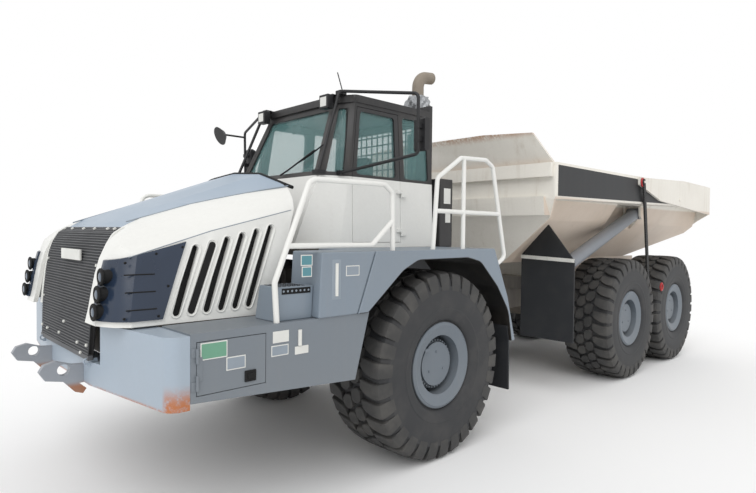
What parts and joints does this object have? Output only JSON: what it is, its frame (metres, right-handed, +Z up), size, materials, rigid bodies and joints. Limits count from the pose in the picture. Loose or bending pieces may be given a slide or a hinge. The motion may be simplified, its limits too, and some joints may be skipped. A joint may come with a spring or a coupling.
{
  "type": "articulated dump truck",
  "caption": "Six-wheel off-road hauler: a cab tractor hinged to a rear frame on twin driven axles, with a tipping body, overhead tailgate, hoist rams and lugged tyres.",
  "frame": {"origin": "on the ground, at the middle of the truck's length and width with the truck straight and its body down", "axes": "+X forward, +Y to the driver's left, +Z up"},
  "size_m": [11.25, 3.548, 4.2315],
  "materials": {
    "chassis_paint": "satin, dusty",
    "cast_block": "rough",
    "slate_paint": "satin",
    "white_paint": "satin",
    "charcoal_paint": "satin",
    "cream_paint": "worn",
    "grey_paint": "satin",
    "lamp_blue": "gloss",
    "lamp_lens": "clear gloss",
    "rusty_steel": "rusted",
    "hot_steel": "heat stained",
    "rod_chrome": "bright",
    "tinted_glass": "tinted",
    "dark_plastic": "matte",
    "seat_fabric": "woven",
    "flap_rubber": "matte",
    "tread_rubber": "matte",
    "strap_web": "woven"
  },
  "bodies": {
    "tractor": {"front_frame": "chassis_paint", "engine_block": "cast_block", "front_axle": "chassis_paint", "bumper": "slate_paint", "tow_hooks": "rusty_steel", "side_boxes": "slate_paint", "tanks": "slate_paint", "fenders": "slate_paint", "steps": "slate_paint", "front_flaps": "flap_rubber", "deck": "chassis_paint", "cab_tub": "white_paint", "cab_frame": "charcoal_paint", "cab_glass": "tinted_glass", "seat": "seat_fabric", "console": "dark_plastic", "rear_guard": "charcoal_paint", "work_lamps": "dark_plastic", "mirrors": "dark_plastic", "handrails": "white_paint", "exhaust": "hot_steel", "cabinet": "charcoal_paint"},
    "hood": {"hood": "white_paint", "grille": "charcoal_paint", "lamp_panels": "lamp_blue", "headlamps": "lamp_lens"},
    "cab_door": {"cab_door": "charcoal_paint", "door_glass": "tinted_glass"},
    "box_door": {"box_door": "slate_paint"},
    "hitch": {"hitch": "chassis_paint"},
    "rear_frame": {"rear_frame": "chassis_paint", "mid_axle": "chassis_paint", "rear_axle": "chassis_paint", "walking_beams": "chassis_paint", "mid_flaps": "flap_rubber"},
    "bed": {"bed": "cream_paint"},
    "tailgate": {"tailgate": "cream_paint"},
    "straps": {"straps": "strap_web"},
    "hoist_barrel_left": {"hoist_barrel_left": "grey_paint"},
    "hoist_rod_left": {"hoist_rod_left": "rod_chrome"},
    "steer_barrel_left": {"steer_barrel_left": "grey_paint"},
    "steer_rod_left": {"steer_rod_left": "rod_chrome"},
    "hoist_barrel_right": {"hoist_barrel_right": "grey_paint"},
    "hoist_rod_right": {"hoist_rod_right": "rod_chrome"},
    "steer_barrel_right": {"steer_barrel_right": "grey_paint"},
    "steer_rod_right": {"steer_rod_right": "rod_chrome"},
    "wheel_front_left": {"tyre_front_left": "tread_rubber", "rim_front_left": "slate_paint"},
    "wheel_front_right": {"tyre_front_right": "tread_rubber", "rim_front_right": "slate_paint"},
    "wheel_mid_left": {"tyre_mid_left": "tread_rubber", "rim_mid_left": "slate_paint"},
    "wheel_mid_right": {"tyre_mid_right": "tread_rubber", "rim_mid_right": "slate_paint"},
    "wheel_rear_left": {"tyre_rear_left": "tread_rubber", "rim_rear_left": "slate_paint"},
    "wheel_rear_right": {"tyre_rear_right": "tread_rubber", "rim_rear_right": "slate_paint"}
  },
  "joints": [
    {"name": "steer", "type": "hinge", "parent": "tractor", "child": "hitch", "pos_m": [0.575, 0, 1.25], "axis": [0, 0, 1], "range_deg": [-45, 45]},
    {"name": "roll", "type": "hinge", "parent": "hitch", "child": "rear_frame", "pos_m": [-0.125, 0, 1.25], "axis": [-1, 0, 0], "range_deg": [-15, 15]},
    {"name": "bed_tip", "type": "hinge", "parent": "rear_frame", "child": "bed", "pos_m": [-4.575, 0, 1.45], "axis": [0, -1, 0], "range_deg": [0, 65]},
    {"name": "tailgate_lift", "type": "hinge", "parent": "bed", "child": "tailgate", "pos_m": [-3.905, 0, 2.84], "axis": [0, 1, 0], "range_deg": [0, 55.7]},
    {"name": "strap_swing", "type": "hinge", "parent": "tailgate", "child": "straps", "pos_m": [-2.185, 0, 3.03], "axis": [0, -1, 0], "range_deg": [0, 42.7]},
    {"name": "hood_tilt", "type": "hinge", "parent": "tractor", "child": "hood", "pos_m": [5.35, 0, 1.24], "axis": [0, 1, 0], "range_deg": [0, 60]},
    {"name": "cab_door_swing", "type": "hinge", "parent": "tractor", "child": "cab_door", "pos_m": [2.255, 0.884, 2.4], "axis": [0, 0, 1], "range_deg": [0, 70]},
    {"name": "box_door_swing", "type": "hinge", "parent": "tractor", "child": "box_door", "pos_m": [4.9925, 1.665, 1.31], "axis": [0, 0, -1], "range_deg": [0, 100]},
    {"name": "hoist_left_swing", "type": "hinge", "parent": "bed", "child": "hoist_barrel_left", "pos_m": [-3.008, 1.3, 2.576], "axis": [0, 1, 0], "range_deg": [0, 66.7]},
    {"name": "hoist_left_stroke", "type": "slide", "parent": "hoist_barrel_left", "child": "hoist_rod_left", "axis": [0.9481, 0, -0.3181], "range_m": [0, 2.075]},
    {"name": "steer_left_swing", "type": "hinge", "parent": "tractor", "child": "steer_barrel_left", "pos_m": [1.825, 0.62, 1.25], "axis": [0, 0, 1], "range_deg": [-3.85, 3.85]},
    {"name": "steer_left_stroke", "type": "slide", "parent": "steer_barrel_left", "child": "steer_rod_left", "axis": [-0.994, -0.1097, 0], "range_m": [-0.36, 0.36]},
    {"name": "hoist_right_swing", "type": "hinge", "parent": "bed", "child": "hoist_barrel_right", "pos_m": [-3.008, -1.3, 2.576], "axis": [0, 1, 0], "range_deg": [0, 66.7]},
    {"name": "hoist_right_stroke", "type": "slide", "parent": "hoist_barrel_right", "child": "hoist_rod_right", "axis": [0.9481, 0, -0.3181], "range_m": [0, 2.075]},
    {"name": "steer_right_swing", "type": "hinge", "parent": "tractor", "child": "steer_barrel_right", "pos_m": [1.825, -0.62, 1.25], "axis": [0, 0, 1], "range_deg": [-3.85, 3.85]},
    {"name": "steer_right_stroke", "type": "slide", "parent": "steer_barrel_right", "child": "steer_rod_right", "axis": [-0.994, 0.1097, 0], "range_m": [-0.36, 0.36]},
    {"name": "wheel_front_left_roll", "type": "hinge", "parent": "tractor", "child": "wheel_front_left", "pos_m": [2.425, 1.29, 0.925], "axis": [0, 1, 0], "continuous": true},
    {"name": "wheel_front_right_roll", "type": "hinge", "parent": "tractor", "child": "wheel_front_right", "pos_m": [2.425, -1.29, 0.925], "axis": [0, 1, 0], "continuous": true},
    {"name": "wheel_mid_left_roll", "type": "hinge", "parent": "rear_frame", "child": "wheel_mid_left", "pos_m": [-2.155, 1.29, 0.925], "axis": [0, 1, 0], "continuous": true},
    {"name": "wheel_mid_right_roll", "type": "hinge", "parent": "rear_frame", "child": "wheel_mid_right", "pos_m": [-2.155, -1.29, 0.925], "axis": [0, 1, 0], "continuous": true},
    {"name": "wheel_rear_left_roll", "type": "hinge", "parent": "rear_frame", "child": "wheel_rear_left", "pos_m": [-4.095, 1.29, 0.925], "axis": [0, 1, 0], "continuous": true},
    {"name": "wheel_rear_right_roll", "type": "hinge", "parent": "rear_frame", "child": "wheel_rear_right", "pos_m": [-4.095, -1.29, 0.925], "axis": [0, 1, 0], "continuous": true}
  ],
  "couplings": [
    {"joint": "tailgate_lift", "follows": "bed_tip", "ratio": 0.85331},
    {"joint": "strap_swing", "follows": "bed_tip", "ratio": 0.65378},
    {"joint": "hoist_left_swing", "follows": "bed_tip", "ratio": 1.0221},
    {"joint": "hoist_left_stroke", "follows": "bed_tip", "m_per_rad": 1.8261},
    {"joint": "steer_left_swing", "follows": "steer", "ratio": 0.07896},
    {"joint": "steer_left_stroke", "follows": "steer", "m_per_rad": 0.45461},
    {"joint": "hoist_right_swing", "follows": "bed_tip", "ratio": 1.0221},
    {"joint": "hoist_right_stroke", "follows": "bed_tip", "m_per_rad": 1.8261},
    {"joint": "steer_right_swing", "follows": "steer", "ratio": 0.07896},
    {"joint": "steer_right_stroke", "follows": "steer", "m_per_rad": -0.45461}
  ]
}
